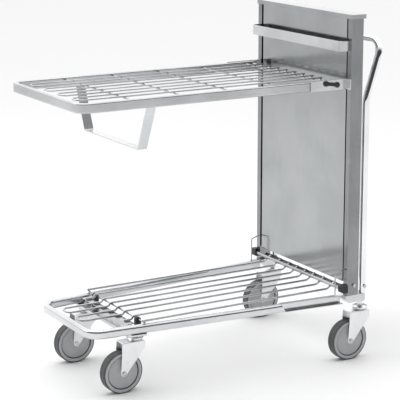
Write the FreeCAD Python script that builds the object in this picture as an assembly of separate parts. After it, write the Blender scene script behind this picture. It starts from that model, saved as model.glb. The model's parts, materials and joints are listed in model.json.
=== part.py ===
import FreeCAD, Part
import math
import os

Vec = FreeCAD.Vector

# Shopping trolley with a folding wire shelf, a lift-up wire deck and four swivel casters.
# Millimetres. X is the width, Y the length with the free end at -Y and the push handle
# at +Y, Z is up from the floor. Until the last step Y is counted from the mast's front face.

# wheels and casters
wheel_diameter = 125.0
tyre_width = 32.0
tread_depth = 6.0
side_ring_width = 8.5
ring_groove = 1.6
ring_chamfer = 1.5
tread_step = 3.0
tread_shoulder = 2.0
web_recess = 3.0
hub_radius = 19.0
hub_slope = 5.0
caster_trail = 46.0
wheel_side_gap = 2.5
fork_sheet = 2.5
fork_tip_radius = 10.0
fork_reach_back = 26.0
fork_skirt = 25.0
fork_lead = 4.0
fork_tip_share = 0.45
fork_skirt_bend = 20.0
fork_back_bend = 8.0
fork_front_bend = 3.0
crown_clearance = 26.0
crown_sheet = 3.0
race_radius = 22.0
race_height = 3.5
race_slope = 2.0
head_radius = 27.0
head_height = 6.0
head_rim = 3.5
head_dish = 3.0
collar_radius = 9.5
axle_radius = 4.0
axle_head_radius = 6.5
axle_head_height = 3.0
axle_nut_height = 5.0
sleeve_radius = 6.5
king_bolt_radius = 5.0
king_head_radius = 9.0
king_head_height = 6.0
king_nut_radius = 8.5
king_nut_height = 8.0
king_bolt_above = 12.0
king_bolt_short = 4.0
front_swivel_inset = 32.0
rear_swivel_inset = 9.0
front_swivel_setback = 156.0
rear_swivel_y = 57.0

# base frame
collar_height = 7.1
rail_height = 28.0
rail_width = 20.0
rail_wall = 2.0
rail_corner = 8.0
base_front_y = -840.0
base_inset = 9.5            # in from the mast's side, in line with its front face
base_taper = 0.087          # half width lost per millimetre towards the free end
base_bend = 42.0
rail_cut_y = -212.0
rail_cut_lean = 16.0
arm_sheet = 2.5
arm_inset = 3.0
cross_plate_length = 50.0
cross_plate_sheet = 5.0
cross_plate_lip = 4.0
cross_plate_bend = 6.0
foot_width = 36.0
foot_height = 24.0
foot_front_y = -4.0
foot_back_y = 70.0
foot_chamfer = 14.0
foot_corner = 3.0

# mast
mast_width = 515.0
mast_depth = 42.5
mast_top = 1070.5
post_width = 20.0
post_wall = 2.0
post_gap = 7.5
panel_sheet = 1.5
panel_depth = 30.0
panel_gap = 14.4
panel_setback = 1.5
cap_overhang = 3.0
cap_overhang_back = 7.0
cap_sheet = 1.5
cap_lip = 13.0
stop_height = 31.0
stop_sheet = 3.0
stop_reach = 33.0
stop_bottom = 961.0
stop_inset = 10.5
stop_bend = 12.0

# push handle
handle_radius = 11.0
handle_wall = 1.8
handle_inset = 0.5
handle_y = 66.0
handle_knee = 815.0
handle_top = 984.0
handle_top_y = 121.0
handle_bend = 48.0

# folding shelf
shelf_top = 876.0
shelf_side_gap = 2.5
shelf_overhang = 52.0
shelf_bar_height = 28.0
shelf_bar_width = 15.0
shelf_bar_corner = 4.0
shelf_bend = 34.0
shelf_pivot_y = -78.0
shelf_pivot_drop = 8.0
shelf_tail_y = -38.0
shelf_wire_radius = 2.5
shelf_wire_count = 8
shelf_wire_pitch = 46.7
shelf_cross_last = -72.0
shelf_cross_count = 5
shelf_cross_setback = 180.0
shelf_back_rod_radius = 5.0
shelf_back_rod_y = -45.0
shelf_hairpin_gap = 14.0
side_plate_front = -132.0
side_plate_margin = 1.5
side_plate_sheet = 3.0
side_gap = 0.6
bearing_sheet = 4.0
bearing_lobe = 8.5
bearing_neck = 6.0
bearing_waist = 5.5
bearing_skin = 1.5
stop_pin_radius = 4.0
stop_nose_depth = 5.0
pivot_pin_radius = 4.0
strap_width = 30.0
strap_sheet = 3.0
strap_setback = 230.0
strap_drop = 131.0
strap_inset = 9.0
strap_narrowing = 56.0
strap_bend = 6.0

# lift-up deck
deck_wire_radius = 3.5
deck_height = 7.0
deck_rise = 2.0
deck_drop = 9.0
deck_step_setback = 14.0
deck_step_run = 8.0
deck_step_bend = 5.0
deck_inner_wires = (23.5, 70.0)
deck_far_inset = 9.2
deck_front_gap = 8.0
deck_ramp_y = -22.0
deck_ramp_length = 38.0
deck_ramp_bend = 12.0
deck_ramp_angle = 31.0
deck_hinge_setback = 20.0
deck_hinge_radius = 2.5
deck_hinge_overhang = 5.0
deck_front_bar_lead = 9.0
deck_front_bar_gap = 17.7
deck_front_bar_width = 22.0
deck_front_bar_sheet = 3.0
deck_bar_radius = 4.5
deck_bar_inset = 14.5
deck_bar_share = 0.45
deck_strip_width = 22.0
deck_strip_margin = 12.0
deck_strip_overhang = 2.0
deck_strip_sheet = 2.0
saddle_inset = 19.5
saddle_width = 12.0
saddle_length = 18.0
saddle_wall = 3.5
saddle_gap = 4.0
saddle_bend = 8.0
guard_offset = 2.5
guard_radius = 2.0
guard_reach = 32.0
guard_shoulder_height = 72.0
guard_height = 83.0
guard_bend = 7.0
rest_overhang_in = 0.5
rest_overhang_out = 5.5
rest_wall = 2.2
rest_below = 11.7
rest_above = 12.3
rest_corner = 5.0
rest_play = 0.8

# clearances
running_gap = 0.06
bearing_gap = 0.4
seat_gap = 0.02
bolt_head_radius = 5.5
bolt_head_height = 4.0
foot_bolt_height = 31.0
foot_bolt_share = 0.6
handle_bolt_height = 23.0

# derived heights, from the floor up
wheel_radius = wheel_diameter / 2
crown_bottom = wheel_diameter + crown_clearance
crown_top = crown_bottom + crown_sheet
race_top = crown_top + race_height
head_bottom = race_top + bearing_gap
head_top = head_bottom + head_height
plate_bottom = head_top + collar_height
base_bottom = plate_bottom + cross_plate_sheet
base_top = base_bottom + rail_height
foot_bottom = base_top - foot_height
deck_wire_z = base_top + deck_height
deck_wire_front_z = deck_wire_z + deck_rise
deck_low_z = deck_wire_front_z - deck_drop
deck_front_bar_top = deck_low_z - deck_wire_radius - seat_gap
ramp_cos = math.cos(math.radians(deck_ramp_angle))
ramp_sin = math.sin(math.radians(deck_ramp_angle))
panel_bottom = deck_wire_z + deck_ramp_length * ramp_sin + panel_gap
shelf_bottom = shelf_top - shelf_bar_height
shelf_pivot_z = shelf_top - shelf_pivot_drop
stop_lobe_z = shelf_top - shelf_bar_height / 2
shelf_wire_z = shelf_top - shelf_wire_radius
shelf_cross_z = shelf_wire_z - 2 * shelf_wire_radius - seat_gap
cap_bottom = mast_top - cap_lip
post_top = mast_top - cap_sheet

# derived places along the length
front_swivel_y = base_front_y + front_swivel_setback
deck_front_y = base_front_y + rail_width + deck_front_gap
deck_step_y = front_swivel_y + deck_step_setback
deck_hinge_y = front_swivel_y + deck_hinge_setback
deck_front_bar_y = front_swivel_y - deck_front_bar_lead
deck_slope = deck_rise / (deck_ramp_y - deck_step_y)
deck_hinge_drop = (deck_hinge_y - deck_step_y) * deck_slope + deck_wire_radius + deck_hinge_radius
deck_hinge_z = deck_wire_front_z - deck_hinge_drop - seat_gap
shelf_front_y = base_front_y - shelf_overhang
shelf_cross_first = shelf_front_y + shelf_cross_setback
shelf_cross_pitch = (shelf_cross_last - shelf_cross_first) / (shelf_cross_count - 1)
strap_y = shelf_front_y + strap_setback
stop_lobe_y = shelf_tail_y
back_y = handle_top_y + handle_radius
centre_shift = -(shelf_front_y + back_y) / 2

# derived distances from the middle
mast_half = mast_width / 2
post_inner = mast_half - post_width
panel_half = post_inner - post_gap
base_half_width = mast_half - base_inset
stop_half_width = mast_half - stop_inset
handle_half_width = mast_half - handle_radius - handle_inset
rear_swivel_x = mast_half - rear_swivel_inset
front_swivel_x = base_half_width + base_taper * front_swivel_y - front_swivel_inset
saddle_x = front_swivel_x - saddle_inset
deck_middle_wire = saddle_x - saddle_width / 2 - saddle_gap - deck_wire_radius
shelf_half_width = post_inner - shelf_side_gap
strap_top_half = shelf_half_width - strap_inset
strap_bottom_half = strap_top_half - strap_narrowing
deck_far_wire = base_half_width + base_taper * deck_hinge_y - deck_far_inset
deck_hinge_half = deck_far_wire + deck_hinge_overhang
deck_front_bar_half = base_half_width + base_taper * deck_front_bar_y - rail_width - deck_front_bar_gap
deck_bar_half = mast_half - deck_bar_inset
guard_x = post_inner + guard_offset
fork_gap = tyre_width + 2 * wheel_side_gap
fork_half = fork_gap / 2 + fork_sheet

sides = {"left": 1, "right": -1}
casters = {
    "front_left": (front_swivel_x, front_swivel_y),
    "front_right": (-front_swivel_x, front_swivel_y),
    "rear_left": (rear_swivel_x, rear_swivel_y),
    "rear_right": (-rear_swivel_x, rear_swivel_y),
}


def rail_half_width(y):
    """Outside half width of the tapered base at a place along its length."""
    return base_half_width + base_taper * y


def box(x_range, y_range, z_range):
    size = [high - low for low, high in (x_range, y_range, z_range)]
    return Part.makeBox(*size, Vec(x_range[0], y_range[0], z_range[0]))


def cylinder(radius, start, end):
    run = Vec(*end) - Vec(*start)
    return Part.makeCylinder(radius, run.Length, Vec(*start), run)


def across(side, inner, outer):
    """An X range from an inner to an outer distance on one side of the middle."""
    return tuple(sorted((side * inner, side * outer)))


def rounded_path(points, radii, closed=False):
    """Straight runs through the points, with a tangent arc of the given radius at each corner."""
    corners = [Vec(*point) for point in points]
    count = len(corners)
    stops = []
    for i, corner in enumerate(corners):
        radius = radii[i]
        if radius == 0 or (not closed and i in (0, count - 1)):
            stops.append((corner, None, corner))
            continue
        before = (corners[i - 1] - corner).normalize()
        after = (corners[(i + 1) % count] - corner).normalize()
        half_turn = before.getAngle(after) / 2
        cut = radius / math.tan(half_turn)
        middle = (before + after).normalize()
        crest = corner + middle * (radius / math.sin(half_turn) - radius)
        stops.append((corner + before * cut, crest, corner + after * cut))
    edges = []
    for i, (arrive, crest, leave) in enumerate(stops):
        if crest is not None:
            edges.append(Part.Arc(arrive, crest, leave).toShape())
        if i < count - 1 or closed:
            following = stops[(i + 1) % count][0]
            if (following - leave).Length > 1e-6:
                edges.append(Part.LineSegment(leave, following).toShape())
    return Part.Wire(edges)


def plate(points, radii, thickness):
    """A flat plate of a rounded outline, thickened along a vector."""
    return Part.Face(rounded_path(points, radii, closed=True)).extrude(Vec(*thickness))


def rod(points, radii, radius):
    """A round bar bent along a path."""
    path = rounded_path(points, radii)
    start = Vec(*points[0])
    ring = Part.makeCircle(radius, start, Vec(*points[1]) - start)
    return path.makePipeShell([Part.Wire(ring)], True, False)


def section(centre, across_vector, width, height, corner):
    """A rounded rectangle, square to the path, as the profile of a bar."""
    side = Vec(*across_vector).normalize() * (width / 2)
    up = Vec(0, 0, height / 2)
    middle = Vec(*centre)
    points = [middle - side - up, middle + side - up, middle + side + up, middle - side + up]
    return rounded_path([tuple(point) for point in points], [corner] * 4, closed=True)


def bar(points, radii, across_vector, width, height, corner):
    """A flat-sided bar bent along a level path."""
    path = rounded_path(points, radii)
    profile = section(points[0], across_vector, width, height, corner)
    return path.makePipeShell([profile], True, False)


def hex_prism(radius, low, high, centre):
    """A hexagon nut with its flats facing X, by its across-flats radius."""
    corner_radius = radius / math.cos(math.pi / 6)
    corners = [
        (
            centre[0] + corner_radius * math.sin(math.pi / 3 * i),
            centre[1] + corner_radius * math.cos(math.pi / 3 * i),
            low,
        )
        for i in range(6)
    ]
    return plate(corners, [0] * 6, (0, 0, high - low))


# base frame

def base_hoop():
    """Flat-oval tube bent into a U round the free end, with raked open ends."""
    middle_z = base_top - rail_height / 2
    front = base_front_y + rail_width / 2
    back_half = rail_half_width(rail_cut_y) - rail_width / 2
    front_half = rail_half_width(front) - rail_width / 2
    overrun = rail_cut_lean
    back = rail_cut_y + overrun
    back_half += base_taper * overrun
    points = [
        (back_half, back, middle_z),
        (front_half, front, middle_z),
        (-front_half, front, middle_z),
        (-back_half, back, middle_z),
    ]
    radii = [0, base_bend, base_bend, 0]
    across_rail = (1, -base_taper, 0)
    outer = bar(points, radii, across_rail, rail_width, rail_height, rail_corner)
    inner = bar(
        points, radii, across_rail,
        rail_width - 2 * rail_wall, rail_height - 2 * rail_wall, rail_corner - rail_wall,
    )
    return outer.cut(inner).common(in_front_of_cut())


def in_front_of_cut():
    """The space ahead of the raked joint between hoop and side arms."""
    wide = base_half_width + rail_width
    low_y = rail_cut_y + rail_cut_lean / 2
    high_y = rail_cut_y - rail_cut_lean / 2
    margin = rail_height
    slope = rail_cut_lean / rail_height
    points = [
        (-wide, base_front_y - margin, base_bottom - margin),
        (-wide, low_y + slope * margin, base_bottom - margin),
        (-wide, high_y - slope * margin, base_top + margin),
        (-wide, base_front_y - margin, base_top + margin),
    ]
    return plate(points, [0] * 4, (2 * wide, 0, 0))


def tapered_block(side, y_range, insets, z_range):
    """A block that follows the base's taper, between two distances in from its outside."""
    low, high = z_range
    points = []
    for y, inset in zip(y_range + y_range[::-1], (insets[0], insets[0], insets[1], insets[1])):
        points.append((side * (rail_half_width(y) - inset), y, low))
    return plate(points, [0] * 4, (0, 0, high - low))


def side_arm(side):
    """Channel, open outwards, that carries the hoop back to the mast's foot."""
    start = rail_cut_y - rail_cut_lean
    end = foot_front_y
    sheet = arm_sheet
    solid = tapered_block(side, (start, end), (rail_width, arm_inset), (base_bottom, base_top))
    hollow = tapered_block(
        side, (start, end), (rail_width - sheet, 0), (base_bottom + sheet, base_top - sheet),
    )
    return solid.cut(hollow).cut(in_front_of_cut())


def front_cross_plate():
    """Plate under the rails that takes the front casters, with stiffening lips turned down."""
    front = front_swivel_y - cross_plate_length / 2
    back = front_swivel_y + cross_plate_length / 2
    half_front = rail_half_width(front)
    half_back = rail_half_width(back)
    points = [
        (-half_front, front, plate_bottom),
        (half_front, front, plate_bottom),
        (half_back, back, plate_bottom),
        (-half_back, back, plate_bottom),
    ]
    base = plate(points, [cross_plate_bend] * 4, (0, 0, cross_plate_sheet))
    for y, half in ((front, half_front), (back - cross_plate_sheet / 2, half_back)):
        flat = half - cross_plate_bend
        lip_range = (plate_bottom - cross_plate_lip, base_bottom)
        lip = box((-flat, flat), (y, y + cross_plate_sheet / 2), lip_range)
        base = base.fuse(lip)
    for side in sides.values():
        centre = side * front_swivel_x
        base = base.cut(cylinder(
            king_bolt_radius + running_gap,
            (centre, front_swivel_y, plate_bottom - 1), (centre, front_swivel_y, base_bottom + 1),
        ))
    return base.removeSplitter()


def foot_block(side):
    """Welded foot that joins side arm, post, handle tube and rear caster."""
    inner = mast_half - foot_width
    outer = mast_half
    x_low = across(side, inner, outer)[0]
    points = [
        (x_low, foot_front_y, base_top),
        (x_low, foot_front_y, foot_bottom + foot_chamfer),
        (x_low, foot_front_y + foot_chamfer, foot_bottom),
        (x_low, foot_back_y, foot_bottom),
        (x_low, foot_back_y, base_top),
    ]
    block = plate(points, [0, 0, 0, foot_corner, foot_corner], (foot_width, 0, 0))
    bore = cylinder(
        king_bolt_radius + running_gap,
        (side * rear_swivel_x, rear_swivel_y, foot_bottom - 1),
        (side * rear_swivel_x, rear_swivel_y, base_top - foot_corner),
    )
    return block.cut(bore)


# mast

def post(side):
    """Rectangular tube, closed at neither end."""
    outer = box(across(side, post_inner, mast_half), (0, mast_depth), (base_top, post_top - seat_gap))
    hollow = box(
        across(side, post_inner + post_wall, mast_half - post_wall),
        (post_wall, mast_depth - post_wall), (base_top - 1, post_top + 1),
    )
    return outer.cut(hollow)


def back_panel():
    """Folded sheet tray between the posts, with lips that reach out to them at the back."""
    front = panel_setback
    top = post_top - seat_gap
    sheet = box((-panel_half, panel_half), (front, front + panel_depth), (panel_bottom, top))
    hollow = box(
        (-panel_half + panel_sheet, panel_half - panel_sheet),
        (front + panel_sheet, front + panel_depth + 1), (panel_bottom + panel_sheet, top - panel_sheet),
    )
    tray = sheet.cut(hollow)
    for side in sides.values():
        lip = box(
            across(side, panel_half - panel_sheet, post_inner),
            (front + panel_depth - panel_sheet, front + panel_depth), (panel_bottom, top),
        )
        tray = tray.fuse(lip)
    return tray.removeSplitter()


def top_cap():
    """Folded lid over the mast."""
    half = mast_half + cap_overhang
    front = -cap_overhang
    back = mast_depth + cap_overhang_back
    lid = box((-half, half), (front, back), (cap_bottom, mast_top))
    hollow = box(
        (-half + cap_sheet, half - cap_sheet), (front + cap_sheet, back - cap_sheet),
        (cap_bottom - 1, post_top),
    )
    return lid.cut(hollow)


def stop_bar():
    """Bent flat bar in front of the mast that the raised shelf leans on."""
    middle_z = stop_bottom + stop_height / 2
    line = stop_half_width - stop_sheet / 2
    front = -stop_reach + stop_sheet / 2
    points = [(line, 0, middle_z), (line, front, middle_z), (-line, front, middle_z), (-line, 0, middle_z)]
    return bar(points, [0, stop_bend, stop_bend, 0], (1, 0, 0), stop_sheet, stop_height, 0)


def handle_bar():
    """Round tube bent into an upside-down U, leaning back above its knees."""
    lean = (handle_top_y - handle_y) / (handle_top - handle_knee)
    points = [
        (handle_half_width, handle_y, base_top),
        (handle_half_width, handle_y, handle_knee),
        (handle_half_width, handle_top_y, handle_top),
        (-handle_half_width, handle_top_y, handle_top),
        (-handle_half_width, handle_y, handle_knee),
        (-handle_half_width, handle_y, base_top),
    ]
    knee_bend = handle_bend / max(lean, 0.1)
    radii = [0, knee_bend, handle_bend, handle_bend, knee_bend, 0]
    tube = rod(points, radii, handle_radius)
    return tube.cut(rod(points, radii, handle_radius - handle_wall))


def foot_bolts():
    """Button-head bolts through the posts and through the handle tube, one of each a side."""
    heads = []
    for side in sides.values():
        for y, z, seat in (
            (mast_depth * foot_bolt_share, base_top + foot_bolt_height, mast_half),
            (handle_y, base_top + handle_bolt_height, handle_half_width + handle_radius),
        ):
            seat_x = side * (seat + seat_gap)
            tip_x = side * (seat + bolt_head_height)
            head = cylinder(bolt_head_radius, (seat_x, y, z), (tip_x, y, z))
            heads.append(head)
    return Part.Compound(heads)


# shelf bearings on the mast

def side_plate(side):
    """Bracket plate with a foot on the post, outside the shelf's rail."""
    inner = shelf_half_width + side_gap
    outer = inner + side_plate_sheet
    low = shelf_bottom - side_plate_margin
    high = shelf_top + side_plate_margin
    blade = box(across(side, inner, outer), (side_plate_front, 0), (low, high))
    foot = box(across(side, inner, mast_half), (-side_plate_sheet, 0), (low, high))
    bracket = blade.fuse(foot).removeSplitter()
    for y, z in ((shelf_pivot_y, shelf_pivot_z), (stop_lobe_y, stop_lobe_z)):
        hole = cylinder(bearing_neck + running_gap, (side * (inner - 1), y, z), (side * (outer + 1), y, z))
        bracket = bracket.cut(hole)
    return bracket


def shelf_bearing(side):
    """Moulded bearing with two lobes: the front one holds the pivot, the rear one the stop."""
    inner = side * (shelf_half_width + side_gap)
    start = side * (shelf_half_width + side_gap + side_plate_sheet + seat_gap)
    end = start + side * bearing_sheet
    pivot = (shelf_pivot_y, shelf_pivot_z)
    stop = (stop_lobe_y, stop_lobe_z)
    run = Vec(0, stop[0] - pivot[0], stop[1] - pivot[1])
    turned = run.cross(Vec(1, 0, 0)).normalize() * bearing_waist
    corners = [
        Vec(start, *pivot) + turned, Vec(start, *stop) + turned,
        Vec(start, *stop) - turned, Vec(start, *pivot) - turned,
    ]
    body = plate([tuple(corner) for corner in corners], [0] * 4, (end - start, 0, 0))
    for y, z in (pivot, stop):
        body = body.fuse(cylinder(bearing_lobe, (start, y, z), (end, y, z)))
        body = body.fuse(cylinder(bearing_neck, (inner, y, z), (end, y, z)))
    nose = cylinder(stop_pin_radius, (side * (shelf_half_width - stop_nose_depth), *stop), (start, *stop))
    blind_end = end - side * bearing_skin
    bore = cylinder(pivot_pin_radius + running_gap, (inner - side, *pivot), (blind_end, *pivot))
    return body.fuse(nose).cut(bore).removeSplitter()


# folding shelf

def shelf_frame():
    """Flat-sided bar bent into a U, with rounded tails notched for the bearings' stop noses."""
    middle_z = shelf_top - shelf_bar_height / 2
    line = shelf_half_width - shelf_bar_width / 2
    front = shelf_front_y + shelf_bar_width / 2
    back = shelf_tail_y + shelf_bar_height / 2
    points = [
        (line, back, middle_z), (line, front, middle_z),
        (-line, front, middle_z), (-line, back, middle_z),
    ]
    frame = bar(
        points, [0, shelf_bend, shelf_bend, 0], (1, 0, 0),
        shelf_bar_width, shelf_bar_height, shelf_bar_corner,
    )
    for side in sides.values():
        low_x, high_x = across(side, line - shelf_bar_width, line + shelf_bar_width)
        tail = box((low_x, high_x), (shelf_tail_y, back + 1), (shelf_bottom - 1, shelf_top + 1))
        round_end = cylinder(
            shelf_bar_height / 2, (low_x, shelf_tail_y, middle_z), (high_x, shelf_tail_y, middle_z),
        )
        pin_hole = cylinder(
            pivot_pin_radius, (low_x, shelf_pivot_y, shelf_pivot_z), (high_x, shelf_pivot_y, shelf_pivot_z),
        )
        frame = frame.cut(tail.cut(round_end)).cut(stop_notch(side)).cut(pin_hole)
    return frame


def stop_notch(side):
    """Slot in the rail's tail, open upwards, that the fixed stop nose leaves as the shelf swings up."""
    radius = stop_pin_radius + bearing_gap
    inner = shelf_half_width - stop_nose_depth - side_gap
    low_x, high_x = across(side, inner, shelf_half_width + 1)
    floor = cylinder(radius, (low_x, stop_lobe_y, stop_lobe_z), (high_x, stop_lobe_y, stop_lobe_z))
    arm = math.hypot(stop_lobe_y - shelf_pivot_y, stop_lobe_z - shelf_pivot_z)
    leaving_turn = math.asin((shelf_bar_height / 2 + radius) / arm)
    drift = arm * (1 - math.cos(leaving_turn))
    rise = box(
        (low_x, high_x), (stop_lobe_y - radius - drift, stop_lobe_y + radius + side_gap),
        (stop_lobe_z, shelf_top + 1),
    )
    return floor.fuse(rise)


def shelf_wire_rows():
    """X places of the long wires, evenly pitched about the middle."""
    first = -(shelf_wire_count - 1) / 2 * shelf_wire_pitch
    return [first + i * shelf_wire_pitch for i in range(shelf_wire_count)]


def shelf_long_wires():
    """Long wires, joined two and two by a hairpin at the free end."""
    rows = shelf_wire_rows()
    front = shelf_front_y + shelf_bar_width + shelf_hairpin_gap + shelf_wire_radius
    back = shelf_back_rod_y + shelf_back_rod_radius
    hairpins = []
    for i in range(0, shelf_wire_count, 2):
        points = [
            (rows[i], back, shelf_wire_z),
            (rows[i], front, shelf_wire_z),
            (rows[i + 1], front, shelf_wire_z),
            (rows[i + 1], back, shelf_wire_z),
        ]
        bend = shelf_wire_pitch / 2 - shelf_wire_radius
        hairpins.append(rod(points, [0, bend, bend, 0], shelf_wire_radius))
    return Part.Compound(hairpins)


def shelf_cross_wires():
    """Cross wires under the long ones, welded to the rails at both ends."""
    half = shelf_half_width - shelf_bar_width
    wires = []
    for i in range(shelf_cross_count):
        y = shelf_cross_first + i * shelf_cross_pitch
        wires.append(cylinder(shelf_wire_radius, (-half, y, shelf_cross_z), (half, y, shelf_cross_z)))
    return Part.Compound(wires)


def shelf_back_rod():
    """Round rod that ties the two rails together near the pivots."""
    half = shelf_half_width - shelf_bar_width
    z = shelf_wire_z - shelf_wire_radius - shelf_back_rod_radius - seat_gap
    return cylinder(shelf_back_rod_radius, (-half, shelf_back_rod_y, z), (half, shelf_back_rod_y, z))


def shelf_strap():
    """Flat bail below the shelf for pulling it down."""
    top = shelf_bottom - seat_gap
    low = shelf_bottom - strap_drop
    front = strap_y - strap_width / 2
    flare = (strap_top_half - strap_bottom_half) / strap_drop
    inset = strap_sheet * math.hypot(1, flare)
    rise = strap_sheet
    shift = inset - flare * rise
    inner_bend = strap_bend - strap_sheet
    outer = [
        (strap_top_half, top), (strap_bottom_half, low),
        (-strap_bottom_half, low), (-strap_top_half, top),
    ]
    inner = [
        (-strap_top_half + inset, top), (-strap_bottom_half + shift, low + rise),
        (strap_bottom_half - shift, low + rise), (strap_top_half - inset, top),
    ]
    points = [(x, front, z) for x, z in outer + inner]
    return plate(points, [0, strap_bend, strap_bend, 0, 0, inner_bend, inner_bend, 0], (0, strap_width, 0))


def shelf_pins():
    """Pivot pins, pressed into the rails and turning in the bearings."""
    inner = shelf_half_width - shelf_bar_width
    outer = shelf_half_width + side_gap + side_plate_sheet + bearing_sheet - bearing_skin - bearing_gap
    place = (shelf_pivot_y, shelf_pivot_z)
    return Part.Compound([
        cylinder(pivot_pin_radius, (side * inner, *place), (side * outer, *place)) for side in sides.values()
    ])


# lift-up deck

def ramp_point(distance, lift=0.0):
    """A place along the deck's ramp, with an offset square to it."""
    y = deck_ramp_y + distance * ramp_cos - lift * ramp_sin
    z = deck_wire_z + distance * ramp_sin + lift * ramp_cos
    return y, z


def deck_wires():
    """Long wires with an upturned back end; the inner ones step down to a hairpin at the front."""
    top_y, top_z = ramp_point(deck_ramp_length)
    high = [(top_y, top_z), (deck_ramp_y, deck_wire_z), (deck_step_y, deck_wire_front_z)]
    step = (deck_step_y - deck_step_run, deck_low_z)
    bar_edge = deck_front_bar_y - deck_front_bar_width / 2
    wires = []
    inner, outer = deck_inner_wires
    turn = (outer - inner) / 2 - deck_wire_radius
    for side in sides.values():
        half = high + [step, (deck_front_y, deck_low_z)]
        points = [(side * inner, y, z) for y, z in half]
        points += [(side * outer, y, z) for y, z in reversed(half)]
        bends = [0, deck_ramp_bend, deck_step_bend, deck_step_bend, turn]
        wires.append(rod(points, bends + bends[::-1], deck_wire_radius))
        points = [(side * deck_middle_wire, y, z) for y, z in high + [step, (bar_edge, deck_low_z)]]
        wires.append(rod(points, [0, deck_ramp_bend, deck_step_bend, deck_step_bend, 0], deck_wire_radius))
        points = [(side * deck_far_wire, y, z) for y, z in high]
        wires.append(rod(points, [0, deck_ramp_bend, 0], deck_wire_radius))
    return Part.Compound(wires)


def deck_front_bar():
    """Flat bar under the stepped-down wires, ahead of the hinge."""
    half_width = deck_front_bar_width / 2
    return box(
        (-deck_front_bar_half, deck_front_bar_half),
        (deck_front_bar_y - half_width, deck_front_bar_y + half_width),
        (deck_front_bar_top - deck_front_bar_sheet, deck_front_bar_top),
    )


def deck_hinge_rod():
    """Hinge rod under the long wires, turning in the two saddles."""
    half = deck_hinge_half
    place = (deck_hinge_y, deck_hinge_z)
    return cylinder(deck_hinge_radius, (-half, *place), (half, *place))


def hinge_saddles():
    """Moulded saddles on the cross plate that carry the hinge rod."""
    blocks = []
    low = base_bottom + seat_gap
    top = deck_hinge_z + deck_hinge_radius + saddle_wall
    for side in sides.values():
        x_low, x_high = across(side, saddle_x - saddle_width / 2, saddle_x + saddle_width / 2)
        front = deck_hinge_y - saddle_length / 2
        back = deck_hinge_y + saddle_length / 2
        outline = [(x_low, front, low), (x_low, back, low), (x_low, back, top), (x_low, front, top)]
        block = plate(outline, [0, 0, saddle_bend, saddle_bend], (saddle_width, 0, 0))
        bore = cylinder(
            deck_hinge_radius + running_gap,
            (x_low - 1, deck_hinge_y, deck_hinge_z), (x_high + 1, deck_hinge_y, deck_hinge_z),
        )
        blocks.append(block.cut(bore))
    return Part.Compound(blocks)


def deck_crossbar():
    """Round bar across the ramp, whose ends rest in the moulded rests."""
    y, z = crossbar_place()
    return cylinder(deck_bar_radius, (-deck_bar_half, y, z), (deck_bar_half, y, z))


def crossbar_place():
    return ramp_point(deck_ramp_length * deck_bar_share, deck_wire_radius + deck_bar_radius + seat_gap)


def deck_ramp_strip():
    """Flat strip under the top of the ramp."""
    half = panel_half - deck_strip_margin
    lift = -(deck_wire_radius + seat_gap)
    end = deck_ramp_length + deck_strip_overhang
    start = end - deck_strip_width
    under = lift - deck_strip_sheet
    corners = [
        ramp_point(start, lift), ramp_point(end, lift),
        ramp_point(end, under), ramp_point(start, under),
    ]
    return plate([(-half, y, z) for y, z in corners], [0] * 4, (2 * half, 0, 0))


def deck_guard(side):
    """Bent rod that stands on the side arm and leans on the post, round the crossbar's end."""
    x = side * guard_x
    low = base_top + seat_gap
    top = base_top + guard_height
    points = [
        (x, -guard_reach, low), (x, -guard_reach, base_top + guard_shoulder_height), (x, guard_radius, top),
    ]
    loop = rod(points, [0, guard_bend, 0], guard_radius)
    wide = 2 * guard_radius
    post_space = box((x - wide, x + wide), (-seat_gap, wide + guard_radius), (low, top + wide))
    return loop.cut(post_space)


def deck_rest(side):
    """Moulded rest on the front of the post, with an open notch for the crossbar's end."""
    y, z = crossbar_place()
    notch_half = deck_bar_radius + rest_play
    front = y - notch_half - rest_wall
    low = z - rest_below
    top = z + rest_above
    inner = post_inner - rest_overhang_in
    x_low, x_high = across(side, inner, mast_half + rest_overhang_out)
    outline = [(x_low, -seat_gap, low), (x_low, front, low), (x_low, front, top), (x_low, -seat_gap, top)]
    block = plate(outline, [0, rest_corner, rest_corner, 0], (x_high - x_low, 0, 0))
    notch = box(
        across(side, inner - 1, deck_bar_half + rest_play),
        (y - notch_half, y + notch_half), (z - deck_bar_radius - bearing_gap, top + 1),
    )
    return block.cut(notch)


# casters

def fork_outline(x):
    """Side of the fork: a wide crown narrowing to a round tip about the axle."""
    axle_y = -caster_trail
    tip = fork_tip_radius
    back = fork_reach_back
    return [
        (x, axle_y - fork_lead, crown_top),
        (x, axle_y - tip, wheel_radius),
        (x, axle_y - tip, wheel_radius - tip),
        (x, axle_y + tip * fork_tip_share, wheel_radius - tip),
        (x, back - fork_lead, crown_top - fork_skirt),
        (x, back, crown_top),
    ]


def fork():
    """Pressed steel fork, local to its swivel axis."""
    tip = fork_tip_radius
    bends = [fork_front_bend, 0, tip * 0.95, tip * 0.7, fork_skirt_bend, fork_back_bend]
    solid = plate(fork_outline(-fork_half), bends, (2 * fork_half, 0, 0))
    long_edges = [
        edge for edge in solid.Edges
        if abs(edge.BoundBox.ZMin - crown_top) < 1e-3 and abs(edge.BoundBox.ZMax - crown_top) < 1e-3
        and edge.BoundBox.XLength < 1e-3
    ]
    solid = solid.makeFillet(fork_sheet, long_edges)
    slot = box(
        (-fork_gap / 2, fork_gap / 2), (-caster_trail - wheel_radius, fork_reach_back + 1), (0, crown_bottom),
    )
    king_hole = cylinder(king_bolt_radius + running_gap, (0, 0, crown_bottom - 1), (0, 0, crown_top + 1))
    axle_place = (-caster_trail, wheel_radius)
    axle_hole = cylinder(axle_radius + seat_gap, (-fork_half - 1, *axle_place), (fork_half + 1, *axle_place))
    return solid.cut(slot).cut(king_hole).cut(axle_hole)


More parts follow.
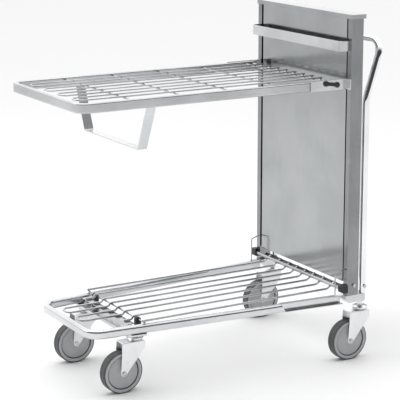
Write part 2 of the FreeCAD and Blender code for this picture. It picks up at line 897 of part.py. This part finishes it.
def swivel_race():
    """Dished ball race on top of the crown."""
    low = crown_top + seat_gap
    dish = Part.makeCone(race_radius, race_radius - race_slope, race_height - seat_gap, Vec(0, 0, low))
    return dish.cut(cylinder(king_bolt_radius + running_gap, (0, 0, low - 1), (0, 0, race_top + 1)))


def axle_set():
    """Axle bolt with its nut, and the sleeve that the wheel turns on."""
    place = (-caster_trail, wheel_radius)
    seat = fork_half + seat_gap
    head_end = fork_half + axle_head_height
    bolt = cylinder(axle_radius, (-seat, *place), (seat, *place))
    head = cylinder(axle_head_radius, (seat, *place), (head_end, *place))
    rim = [edge for edge in head.Edges if edge.BoundBox.XMin > head_end - seat_gap]
    head = head.makeFillet(axle_head_height / 2, rim)
    nut = cylinder(axle_head_radius, (-fork_half - axle_nut_height, *place), (-seat, *place))
    sleeve_half = fork_gap / 2 - seat_gap
    sleeve = cylinder(sleeve_radius, (-sleeve_half, *place), (sleeve_half, *place))
    sleeve = sleeve.cut(cylinder(axle_radius + seat_gap, (-fork_half, *place), (fork_half, *place)))
    return Part.Compound([bolt.fuse(head).fuse(nut), sleeve])


def revolve_profile(points):
    """Turn a profile of (distance across, radius) points about the axle."""
    corners = [Vec(x, -caster_trail, wheel_radius + radius) for x, radius in points]
    face = Part.Face(Part.makePolygon(corners + corners[:1]))
    return face.revolve(Vec(0, -caster_trail, wheel_radius), Vec(1, 0, 0), 360)


def wheel_core():
    """Moulded wheel centre: light outer ring, shallow groove, recessed web and hub."""
    ring_outer = wheel_radius - tread_depth / 2
    ring_inner = ring_outer - side_ring_width
    face = tyre_width / 2
    bore = sleeve_radius + running_gap
    hub_face = fork_gap / 2 - bearing_gap
    web = face - web_recess
    seat = wheel_radius - tread_depth
    step = seat_half()
    groove_floor = web - ring_groove
    half_profile = [
        (step, seat), (step, ring_outer - ring_chamfer / 3),
        (face - ring_chamfer, ring_outer), (face, ring_outer - ring_chamfer), (face, ring_inner),
        (groove_floor, ring_inner), (groove_floor, ring_inner - ring_groove),
        (web, ring_inner - ring_groove), (web, hub_radius),
        (hub_face, hub_radius - hub_slope), (hub_face, bore),
    ]
    profile = half_profile + [(-x, radius) for x, radius in reversed(half_profile)]
    return revolve_profile(profile)


def seat_half():
    """Half the width of the step that the tread sits on."""
    return tyre_width / 2 - tread_step


def tyre():
    """Tread band moulded round the core, with rounded shoulders."""
    ring_outer = wheel_radius - tread_depth / 2 + seat_gap
    inner = wheel_radius - tread_depth + seat_gap
    face = tyre_width / 2 - 0.5
    narrow = seat_half() - seat_gap
    shoulder = tread_shoulder
    half_profile = [
        (narrow, inner), (narrow, ring_outer), (face - 0.8, ring_outer + 0.3), (face, ring_outer + 0.9),
        (face - shoulder * 0.3, wheel_radius - shoulder * 0.35), (face - shoulder, wheel_radius),
    ]
    profile = half_profile + [(-x, radius) for x, radius in reversed(half_profile)]
    return revolve_profile(profile)


def caster_heads():
    """Fixed dished cups with a collar up to what each caster is bolted under."""
    heads = []
    for x, y in casters.values():
        seat = plate_bottom if y == front_swivel_y else foot_bottom
        middle = Vec(x, y, head_bottom)
        head = Part.makeCone(head_radius - head_rim, head_radius, head_height, middle)
        dish_floor = head_top - head_dish
        dish = Part.makeCylinder(head_radius - head_rim, head_dish + 1, Vec(x, y, dish_floor))
        collar = cylinder(collar_radius, (x, y, dish_floor), (x, y, seat - seat_gap))
        bore = cylinder(king_bolt_radius + seat_gap, (x, y, head_bottom - 1), (x, y, seat + 1))
        heads.append(head.cut(dish).fuse(collar).cut(bore).removeSplitter())
    return Part.Compound(heads)


def king_bolts():
    """Swivel bolts, headed under each crown; the front pair carry nuts above the cross plate."""
    bolts = []
    for x, y in casters.values():
        front = y == front_swivel_y
        top = base_bottom + king_bolt_above if front else base_top - king_bolt_short
        head_seat = crown_bottom - bearing_gap
        head_low = head_seat - king_head_height
        bolt = cylinder(king_bolt_radius, (x, y, head_low), (x, y, top))
        bolt = bolt.fuse(cylinder(king_head_radius, (x, y, head_low), (x, y, head_seat)))
        if front:
            nut_low = base_bottom + seat_gap
            bolt = bolt.fuse(hex_prism(king_nut_radius, nut_low, base_bottom + king_nut_height, (x, y)))
        bolts.append(bolt.removeSplitter())
    return Part.Compound(bolts)


def build():
    nodes = {
        "base_hoop": base_hoop(),
        "front_cross_plate": front_cross_plate(),
        "back_panel": back_panel(),
        "top_cap": top_cap(),
        "stop_bar": stop_bar(),
        "handle_bar": handle_bar(),
        "foot_bolts": foot_bolts(),
        "caster_heads": caster_heads(),
        "king_bolts": king_bolts(),
        "hinge_saddles": hinge_saddles(),
        "shelf_frame": shelf_frame(),
        "shelf_long_wires": shelf_long_wires(),
        "shelf_cross_wires": shelf_cross_wires(),
        "shelf_back_rod": shelf_back_rod(),
        "shelf_strap": shelf_strap(),
        "shelf_pins": shelf_pins(),
        "deck_wires": deck_wires(),
        "deck_front_bar": deck_front_bar(),
        "deck_hinge_rod": deck_hinge_rod(),
        "deck_crossbar": deck_crossbar(),
        "deck_ramp_strip": deck_ramp_strip(),
    }
    for name, side in sides.items():
        nodes["side_arm_" + name] = side_arm(side)
        nodes["foot_block_" + name] = foot_block(side)
        nodes["post_" + name] = post(side)
        nodes["side_plate_" + name] = side_plate(side)
        nodes["shelf_bearing_" + name] = shelf_bearing(side)
        nodes["deck_guard_" + name] = deck_guard(side)
        nodes["deck_rest_" + name] = deck_rest(side)
    for name, (x, y) in casters.items():
        pieces = {
            "fork": fork(), "swivel_race": swivel_race(), "axle": axle_set(),
            "wheel_core": wheel_core(), "tyre": tyre(),
        }
        for piece, shape in pieces.items():
            nodes[piece + "_" + name] = shape.translated(Vec(x, y, 0))
    return nodes


os.makedirs("parts", exist_ok=True)
for name, shape in build().items():
    placed = shape.translated(Vec(0, centre_shift, 0))
    placed.exportStep("parts/" + name + ".step")
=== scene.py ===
import json
import math

import bmesh
import bpy
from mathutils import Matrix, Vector


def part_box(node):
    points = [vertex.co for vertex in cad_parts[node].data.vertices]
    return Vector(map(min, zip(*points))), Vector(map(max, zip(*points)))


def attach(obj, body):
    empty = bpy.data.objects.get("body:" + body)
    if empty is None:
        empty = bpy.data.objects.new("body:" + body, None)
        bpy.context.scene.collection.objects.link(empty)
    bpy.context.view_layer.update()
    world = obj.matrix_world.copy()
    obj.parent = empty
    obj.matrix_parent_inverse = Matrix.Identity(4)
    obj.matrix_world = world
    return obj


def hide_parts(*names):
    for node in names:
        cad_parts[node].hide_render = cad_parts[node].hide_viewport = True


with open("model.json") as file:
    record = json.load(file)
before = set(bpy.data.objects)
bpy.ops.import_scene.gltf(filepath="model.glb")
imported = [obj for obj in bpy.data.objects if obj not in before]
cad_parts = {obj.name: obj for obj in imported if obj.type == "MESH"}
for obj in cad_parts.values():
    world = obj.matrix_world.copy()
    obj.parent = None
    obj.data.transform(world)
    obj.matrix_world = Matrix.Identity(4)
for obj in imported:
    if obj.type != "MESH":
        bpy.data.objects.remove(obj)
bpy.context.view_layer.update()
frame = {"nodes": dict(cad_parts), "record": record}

corners = ("front_left", "front_right", "rear_left", "rear_right")
sides = ("left", "right")


# a socket of a material, so that maths on it reads as plain expressions
class Field:
    def __init__(self, tree, socket):
        self.tree = tree
        self.socket = socket

    def maths(self, operation, first, second):
        node = self.tree.nodes.new("ShaderNodeMath")
        node.operation = operation
        for place, value in enumerate((first, second)):
            plug(self.tree, node.inputs[place], value)
        return Field(self.tree, node.outputs[0])

    def __add__(self, other):
        return self.maths("ADD", self, other)

    def __radd__(self, other):
        return self.maths("ADD", other, self)

    def __sub__(self, other):
        return self.maths("SUBTRACT", self, other)

    def __rsub__(self, other):
        return self.maths("SUBTRACT", other, self)

    def __mul__(self, other):
        return self.maths("MULTIPLY", self, other)

    def __rmul__(self, other):
        return self.maths("MULTIPLY", other, self)


def plug(tree, socket, value):
    if isinstance(value, Field):
        tree.links.new(value.socket, socket)
    elif socket.type == "RGBA" and len(value) == 3:
        socket.default_value = (*value, 1)
    else:
        socket.default_value = value


class Finish:
    def __init__(self, name):
        self.material = bpy.data.materials.new(name)
        self.material.use_nodes = True
        self.tree = self.material.node_tree
        self.tree.nodes.clear()
        self.place = self.node("ShaderNodeTexCoord", output="Object")

    # any node: its settings first, then the values or links of its sockets
    def node(self, kind, settings=None, inputs=None, output=0):
        made = self.tree.nodes.new(kind)
        for key, value in (settings or {}).items():
            setattr(made, key, value)
        for key, value in (inputs or {}).items():
            plug(self.tree, made.inputs[key], value)
        return Field(self.tree, made.outputs[output])

    def noise(self, scale, detail=3.0, stretch=(1, 1, 1), roughness=0.5):
        spot = self.node("ShaderNodeMapping", {}, {"Vector": self.place, "Scale": stretch})
        return self.node(
            "ShaderNodeTexNoise", {},
            {"Vector": spot, "Scale": scale, "Detail": detail, "Roughness": roughness},
        )

    def within(self, field, low, high, toLow=0.0, toHigh=1.0):
        return self.node(
            "ShaderNodeMapRange", {"interpolation_type": "SMOOTHSTEP"},
            {"Value": field, "From Min": low, "From Max": high, "To Min": toLow, "To Max": toHigh},
        )

    def blend(self, factor, first, second):
        return self.node(
            "ShaderNodeMix", {"data_type": "RGBA"}, {0: factor, 6: first, 7: second}, output=2,
        )

    def bump(self, height, strength, distance):
        return self.node(
            "ShaderNodeBump", {}, {"Height": height, "Strength": strength, "Distance": distance},
        )

    def close(self, inputs):
        shader = self.node("ShaderNodeBsdfPrincipled", {}, inputs)
        target = self.tree.nodes.new("ShaderNodeOutputMaterial")
        self.tree.links.new(shader.socket, target.inputs["Surface"])
        return self.material


# plated steel: drifting brightness, fine streaks along the metal, small dull spots and scuffs
def platedSteel(name, look):
    finish = Finish(name)
    drift = finish.noise(look["driftScale"], 4.0)
    streaks = finish.noise(look["streakScale"], 3.0, look["streakRun"], 0.6)
    spangle = finish.noise(look["spangleScale"], 2.0)
    spots = finish.within(finish.noise(look["spotScale"], 5.0), 0.55, 0.85)
    shade = finish.within(drift + streaks * 0.35, 0.45, 0.9)
    base = finish.blend(shade, look["bright"], look["dull"])
    worn = finish.blend(spots * look["spotDepth"], base, look["spot"])
    rough = look["roughness"] + (streaks - 0.5) * look["roughSpread"] + spots * 0.05
    relief = streaks * 0.6 + spangle * 0.4
    return finish.close({
        "Base Color": worn, "Metallic": 1.0, "Roughness": rough,
        "Normal": finish.bump(relief, look["reliefStrength"], look["reliefDepth"]),
    })


def steelLook(**changes):
    look = {
        "bright": (0.72, 0.73, 0.74), "dull": (0.58, 0.595, 0.61), "spot": (0.55, 0.56, 0.57),
        "driftScale": 7.0, "streakScale": 260.0, "streakRun": (1, 0.05, 1),
        "spangleScale": 55.0, "spotScale": 38.0, "spotDepth": 0.35,
        "roughness": 0.24, "roughSpread": 0.12, "reliefStrength": 0.22, "reliefDepth": 0.0003,
    }
    look.update(changes)
    return look


# moulded plastic or rubber: fine grain, slight mottling, dusty patches, and on the wheel core a painted shade
# that darkens the groove
def moulded(name, look):
    finish = Finish(name)
    mottle = finish.noise(look["mottleScale"], 4.0)
    grain = finish.noise(look["grainScale"], 2.0)
    dust = finish.within(finish.noise(look["dustScale"], 5.0), 0.5, 0.75)
    base = finish.blend(mottle, look["light"], look["dark"])
    colour = finish.blend(dust * look["dust"], base, look["dustTint"])
    # painted shade: faces marked as groove turn near black, standing in for the shade inside the recess
    if look["crevice"]:
        inGroove = finish.node("ShaderNodeAttribute", {"attribute_name": "crevice"}, output="Fac")
        colour = finish.blend(inGroove * look["crevice"], colour, look["paintedGrooveShadeTint"])
    rough = look["roughness"] + (grain - 0.5) * 0.15 + dust * 0.1
    return finish.close({
        "Base Color": colour, "Metallic": 0.0, "Roughness": rough, "IOR": 1.5,
        "Normal": finish.bump(grain, look["reliefStrength"], look["reliefDepth"]),
    })


finishes = {
    "zinc": platedSteel("plated_tube", steelLook()),
    # painted shade: the back panel and posts use darker copies of the plated steel, standing in for the
    # darker reflections they show
    "panel_zinc": platedSteel("plated_sheet", steelLook(
        bright=(0.42, 0.432, 0.436), dull=(0.36, 0.372, 0.376), roughness=0.17, roughSpread=0.05,
        streakRun=(1, 1, 0.04), reliefStrength=0.08, spotDepth=0.12,
    )),
    "post_zinc": platedSteel("plated_post", steelLook(
        bright=(0.31, 0.318, 0.322), dull=(0.25, 0.258, 0.262), roughness=0.2, streakRun=(1, 1, 0.04),
        spotDepth=0.2,
    )),
    "shelf_zinc": platedSteel("plated_shelf", steelLook(
        bright=(0.60, 0.61, 0.62), dull=(0.48, 0.49, 0.50),
    )),
    "wire_zinc": platedSteel("plated_wire", steelLook(
        bright=(0.60, 0.61, 0.62), dull=(0.42, 0.43, 0.44), roughness=0.22, streakRun=(1, 0.1, 1),
    )),
    "handle_chrome": platedSteel("polished_tube", steelLook(
        bright=(0.90, 0.91, 0.92), dull=(0.84, 0.85, 0.86), roughness=0.07, roughSpread=0.04,
        reliefStrength=0.05, spotDepth=0.08,
    )),
    "fastener_steel": platedSteel("plated_bolt", steelLook(
        bright=(0.70, 0.70, 0.70), dull=(0.50, 0.50, 0.50), roughness=0.3, spangleScale=300.0,
    )),
    "caster_steel": platedSteel("pressed_steel", steelLook(
        bright=(0.88, 0.89, 0.90), dull=(0.80, 0.81, 0.82), roughness=0.3, streakRun=(1, 1, 0.2),
    )),
    "black_plastic": moulded("black_moulding", {
        "light": (0.030, 0.030, 0.032), "dark": (0.012, 0.012, 0.013), "dustTint": (0.09, 0.09, 0.09),
        "dust": 0.35, "mottleScale": 30.0, "grainScale": 900.0, "dustScale": 60.0,
        "crevice": 0, "roughness": 0.45, "reliefStrength": 0.2, "reliefDepth": 0.0002,
    }),
    "wheel_plastic": moulded("grey_moulding", {
        "light": (0.56, 0.57, 0.58), "dark": (0.46, 0.47, 0.48), "dustTint": (0.62, 0.62, 0.61),
        "dust": 0.4, "mottleScale": 18.0, "grainScale": 1100.0, "dustScale": 45.0,
        # painted shade: the groove of the wheel core is coloured near black
        "crevice": 1.0, "paintedGrooveShadeTint": (0.03, 0.03, 0.03),
        "roughness": 0.5, "reliefStrength": 0.15, "reliefDepth": 0.0002,
    }),
    "tread_rubber": moulded("tread_rubber", {
        "light": (0.105, 0.105, 0.108), "dark": (0.060, 0.060, 0.063), "dustTint": (0.22, 0.22, 0.21),
        "dust": 0.45, "mottleScale": 24.0, "grainScale": 700.0, "dustScale": 70.0,
        "crevice": 0, "roughness": 0.62, "reliefStrength": 0.35, "reliefDepth": 0.0003,
    }),
}
print("finishes made:", len(finishes))

slotOf = {entry["node"]: entry["material_slot"] for entry in frame["record"]["subparts"]}
finishOf = {node: finishes[slot] for node, slot in slotOf.items()}
finishOf["shelf_frame"] = finishes["shelf_zinc"]
# painted shade: the posts take the darkened copy of the plated steel
for side in sides:
    finishOf["post_" + side] = finishes["post_zinc"]
bodyOf = {node: body for body, nodes in frame["record"]["behaviour"]["bodies"].items() for node in nodes}


def stand(name, shape, node, smoothAngle):
    mesh = bpy.data.meshes.new(name)
    shape.to_mesh(mesh)
    shape.free()
    mesh.shade_smooth()
    mesh.set_sharp_from_angle(angle=math.radians(smoothAngle))
    mesh.materials.append(finishOf[node])
    piece = bpy.data.objects.new(name, mesh)
    bpy.context.scene.collection.objects.link(piece)
    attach(piece, bodyOf[node])
    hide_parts(node)
    return piece


# folded, cut and welded metal keeps its shape and gains a worn radius on each sharp edge
def easedEdges(node, radius, smoothAngle=40.0):
    shape = bmesh.new()
    shape.from_mesh(frame["nodes"][node].data)
    bmesh.ops.remove_doubles(shape, verts=shape.verts, dist=0.00001)
    bmesh.ops.dissolve_limit(
        shape, angle_limit=math.radians(1.0), verts=shape.verts, edges=shape.edges,
    )
    piece = stand(node + "_eased", shape, node, smoothAngle)
    ease = piece.modifiers.new("ease", "BEVEL")
    ease.width = radius
    ease.segments = 2
    ease.limit_method = "ANGLE"
    ease.angle_limit = math.radians(smoothAngle)
    level = piece.modifiers.new("level", "WEIGHTED_NORMAL")
    level.keep_sharp = True
    return piece


easedRadius = {
    "front_cross_plate": 0.0006, "back_panel": 0.0005, "top_cap": 0.0005,
    "stop_bar": 0.0007, "shelf_frame": 0.0005, "shelf_strap": 0.0006, "deck_front_bar": 0.0005,
    "deck_ramp_strip": 0.0004, "hinge_saddles": 0.0009,
}
for side in sides:
    for stem, radius in (
        ("side_arm_", 0.0005), ("foot_block_", 0.0012), ("post_", 0.0006), ("side_plate_", 0.0006),
        ("shelf_bearing_", 0.0006), ("deck_rest_", 0.0014),
    ):
        easedRadius[stem + side] = radius
for corner in corners:
    easedRadius["fork_" + corner] = 0.0007
for node, radius in easedRadius.items():
    easedEdges(node, radius)
print("eased metal:", len(easedRadius))


# base hoop: a flat oval tube swept round the free end, its ends raked where the side arms begin
hoop = {
    "width": 0.020, "corner": 0.0094, "bend": 0.042, "taper": 0.087, "lean": 0.016,
    "bendSteps": 20, "cornerSteps": 7, "runSteps": 12,
}


def roundedTurn(before, corner, after, radius, steps):
    inward, outward = (before - corner).normalized(), (after - corner).normalized()
    halfTurn = inward.angle(outward) / 2
    reachBack = radius / math.tan(halfTurn)
    middle = corner + (inward + outward).normalized() * (radius / math.sin(halfTurn))
    start, end = corner + inward * reachBack - middle, corner + outward * reachBack - middle
    turn = math.pi - 2 * halfTurn
    bend = []
    for step in range(steps + 1):
        share = step / steps
        spoke = start * math.sin((1 - share) * turn) + end * math.sin(share * turn)
        bend.append(middle + spoke / math.sin(turn))
    return bend


def ovalSection(width, height, corner, steps):
    ring = []
    quarters = ((1, 1), (-1, 1), (-1, -1), (1, -1))
    for quarter, (across, up) in enumerate(quarters):
        for step in range(steps + 1):
            angle = math.pi / 2 * (quarter + step / steps)
            ring.append((
                across * (width / 2 - corner) + corner * math.cos(angle),
                up * (height / 2 - corner) + corner * math.sin(angle),
            ))
    return ring


def baseHoop():
    low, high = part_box("base_hoop")
    half, middleZ = hoop["width"] / 2, (low.z + high.z) / 2
    height = high.z - low.z
    frontY = low.y + half

    def corner(side, y):
        return Vector((side * (high.x - hoop["taper"] * (high.y - y) - half), y, middleZ))

    back, front = corner(1, high.y), corner(1, frontY)
    farFront, farBack = corner(-1, frontY), corner(-1, high.y)
    nearTurn = roundedTurn(back, front, farFront, hoop["bend"], hoop["bendSteps"])
    farTurn = roundedTurn(front, farFront, farBack, hoop["bend"], hoop["bendSteps"])
    runs = [step / hoop["runSteps"] for step in range(hoop["runSteps"])]
    path = [back.lerp(nearTurn[0], share) for share in runs] + nearTurn
    path += farTurn + [farBack.lerp(farTurn[-1], share) for share in reversed(runs)]
    section = ovalSection(hoop["width"], height, hoop["corner"], hoop["cornerSteps"])
    shape = bmesh.new()
    rings = []
    for i, spot in enumerate(path):
        ahead = (path[min(i + 1, len(path) - 1)] - path[max(i - 1, 0)]).normalized()
        outward = Vector((-ahead.y, ahead.x, 0))
        ring = []
        for across, up in section:
            place = spot + outward * across + Vector((0, 0, up))
            if i in (0, len(path) - 1):
                rake = hoop["lean"] * (place.z - low.z) / height + place.y - high.y
                place += ahead * (rake if i == 0 else -rake) / abs(ahead.y)
            ring.append(shape.verts.new(place))
        rings.append(ring)
    for first, second in zip(rings, rings[1:]):
        for j in range(len(section)):
            k = (j + 1) % len(section)
            shape.faces.new((first[j], first[k], second[k], second[j]))
    shape.faces.new(rings[0])
    shape.faces.new(rings[-1])
    bmesh.ops.remove_doubles(shape, verts=shape.verts, dist=0.000001)
    bmesh.ops.recalc_face_normals(shape, faces=shape.faces)
    stand("base_hoop_swept", shape, "base_hoop", 40.0)


baseHoop()
print("hoop made")


# wheels: every radius and distance from the wheel's middle in metres
wheel = {
    "steps": 120, "halfWidth": 0.016, "hubRadius": 0.019, "hubHalf": 0.0179, "bore": 0.0066,
    "web": 0.0130, "webEdge": 0.0476, "grooveFloor": 0.0085, "ringInner": 0.0502, "ringOuter": 0.0592,
    "seatHalf": 0.0128, "seatRadius": 0.0568, "shoulder": 0.0022, "mouldLine": 0.0003,
}


def spun(outline, steps):
    shape = bmesh.new()
    loop = [shape.verts.new((x, 0, radius)) for x, radius in outline]
    edges = [shape.edges.new((loop[i], loop[(i + 1) % len(loop)])) for i in range(len(loop))]
    bmesh.ops.spin(
        shape, geom=loop + edges, cent=(0, 0, 0), axis=(1, 0, 0), angle=math.tau,
        steps=steps, use_merge=True,
    )
    bmesh.ops.remove_doubles(shape, verts=shape.verts, dist=0.000001)
    bmesh.ops.recalc_face_normals(shape, faces=shape.faces)
    return shape


def mirrored(halfOutline):
    return halfOutline + [(-x, radius) for x, radius in reversed(halfOutline)]


def wheelMiddle(corner):
    low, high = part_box("tyre_" + corner)
    return (low + high) / 2, (high.z - low.z) / 2


def wheelCore(corner):
    middle, _ = wheelMiddle(corner)
    w = wheel
    half = [
        (w["seatHalf"], w["seatRadius"]), (w["seatHalf"], w["ringOuter"] - 0.0004),
        (w["halfWidth"] - 0.0012, w["ringOuter"]), (w["halfWidth"] - 0.0003, w["ringOuter"] - 0.0008),
        (w["halfWidth"], w["ringOuter"] - 0.002), (w["halfWidth"], w["ringInner"] + 0.0012),
        (w["halfWidth"] - 0.0004, w["ringInner"] + 0.0003), (w["grooveFloor"], w["ringInner"]),
        (w["grooveFloor"], w["webEdge"] + 0.0006), (w["web"] - 0.0004, w["webEdge"]),
        (w["web"], w["webEdge"] - 0.0006), (w["web"], w["hubRadius"] + 0.004),
        (w["web"] + 0.0008, w["hubRadius"] + 0.001), (w["hubHalf"] - 0.0008, w["hubRadius"] - 0.003),
        (w["hubHalf"], w["hubRadius"] - 0.0045), (w["hubHalf"], w["bore"]),
    ]
    shape = spun(mirrored(half), w["steps"])
    # mark the groove faces, where the wheel plastic paints its shade near black
    crevice = shape.verts.layers.float.new("crevice")
    for vert in shape.verts:
        inGroove = abs(vert.co.x) < w["grooveFloor"] + 0.0001 and vert.co.yz.length > w["hubRadius"]
        vert[crevice] = 1.0 if inGroove else 0.0
    bmesh.ops.translate(shape, verts=shape.verts, vec=middle)
    stand("wheel_core_" + corner + "_turned", shape, "wheel_core_" + corner, 35.0)


def tread(corner):
    middle, radius = wheelMiddle(corner)
    w = wheel
    face = w["halfWidth"] - 0.0005
    half = [
        (w["seatHalf"] + 0.0001, w["seatRadius"] + 0.0001), (w["seatHalf"] + 0.0001, w["ringOuter"] + 0.0001),
        (face - 0.0006, w["ringOuter"] + 0.0004), (face, w["ringOuter"] + 0.001),
        (face - 0.0004, radius - w["shoulder"] * 0.45), (face - 0.0011, radius - w["shoulder"] * 0.15),
        (face - w["shoulder"], radius), (0.0012, radius), (0.0006, radius - w["mouldLine"]),
    ]
    shape = spun(mirrored(half), w["steps"])
    bmesh.ops.translate(shape, verts=shape.verts, vec=middle)
    stand("tyre_" + corner + "_moulded", shape, "tyre_" + corner, 35.0)


for corner in corners:
    wheelCore(corner)
    tread(corner)
print("wheels made:", len(corners))


# nodes that stay as they come from the frame
for node, piece in frame["nodes"].items():
    piece.data.materials.clear()
    piece.data.materials.append(finishOf[node])


# one plain pale floor
floorLook = {"reach": 30.0, "tint": (0.94, 0.94, 0.94), "darker": (0.925, 0.925, 0.925)}
floorFinish = Finish("pale_floor")
cloud = floorFinish.noise(0.8, 2.0)
floorShape = bmesh.new()
bmesh.ops.create_grid(floorShape, x_segments=1, y_segments=1, size=floorLook["reach"])
floorMesh = bpy.data.meshes.new("pale_floor")
floorShape.to_mesh(floorMesh)
floorShape.free()
floorMesh.materials.append(floorFinish.close({
    "Base Color": floorFinish.blend(cloud, floorLook["tint"], floorLook["darker"]), "Roughness": 0.9,
}))
floor = bpy.data.objects.new("pale_floor", floorMesh)
bpy.context.scene.collection.objects.link(floor)


# soft boxes: where each stands, what it faces, its size and its power
softBoxes = {
    "overhead": {"at": (-0.6, -0.6, 3.6), "to": (0, 0, 0), "size": (3.0, 3.0), "power": 30.0},
    "front": {"at": (-1.8, -3.4, 2.4), "to": (0, 0, 0.5), "size": (2.6, 1.6), "power": 24.0},
}
for name, light in softBoxes.items():
    lamp = bpy.data.lights.new(name, "AREA")
    lamp.shape = "RECTANGLE"
    lamp.size, lamp.size_y = light["size"]
    lamp.energy = light["power"]
    holder = bpy.data.objects.new(name, lamp)
    holder.location = light["at"]
    aim = Vector(light["to"]) - Vector(light["at"])
    holder.rotation_euler = aim.to_track_quat("-Z", "Y").to_euler()
    bpy.context.scene.collection.objects.link(holder)

# a dim room on the near side, a white backdrop and ceiling behind and above
room = {
    "wall": (0.045, 0.045, 0.048), "backdrop": (1.0, 1.0, 1.0), "towards": (-0.62, 0.36, 1.0),
    "dimBelow": 0.12, "whiteAbove": 0.62, "power": 1.30,
}
world = bpy.data.worlds.new("studio")
world.use_nodes = True
sky = world.node_tree
aim = sky.nodes.new("ShaderNodeTexCoord")
facing = sky.nodes.new("ShaderNodeVectorMath")
facing.operation = "DOT_PRODUCT"
facing.inputs[1].default_value = room["towards"]
ramp = sky.nodes.new("ShaderNodeValToRGB")
ramp.color_ramp.elements[0].position = room["dimBelow"]
ramp.color_ramp.elements[0].color = (*room["wall"], 1)
ramp.color_ramp.elements[1].position = room["whiteAbove"]
ramp.color_ramp.elements[1].color = (*room["backdrop"], 1)
sky.links.new(aim.outputs["Generated"], facing.inputs[0])
sky.links.new(facing.outputs["Value"], ramp.inputs[0])
sky.links.new(ramp.outputs[0], sky.nodes["Background"].inputs["Color"])
sky.nodes["Background"].inputs["Strength"].default_value = room["power"]
bpy.context.scene.world = world
bpy.context.scene.view_settings.view_transform = "Standard"
print("studio lit")

shot = {"at": (3.914, -2.290, 1.587), "azimuth": 59.58, "tilt": 11.67, "lens": 137.4, "drop": 0.12}
lens = bpy.data.cameras.new("shot")
lens.lens = shot["lens"]
lens.shift_y = -shot["drop"]
lens.clip_end = 100.0
camera = bpy.data.objects.new("shot", lens)
camera.location = shot["at"]
camera.rotation_euler = (math.radians(90 - shot["tilt"]), 0, math.radians(shot["azimuth"]))
bpy.context.scene.collection.objects.link(camera)
bpy.context.scene.camera = camera
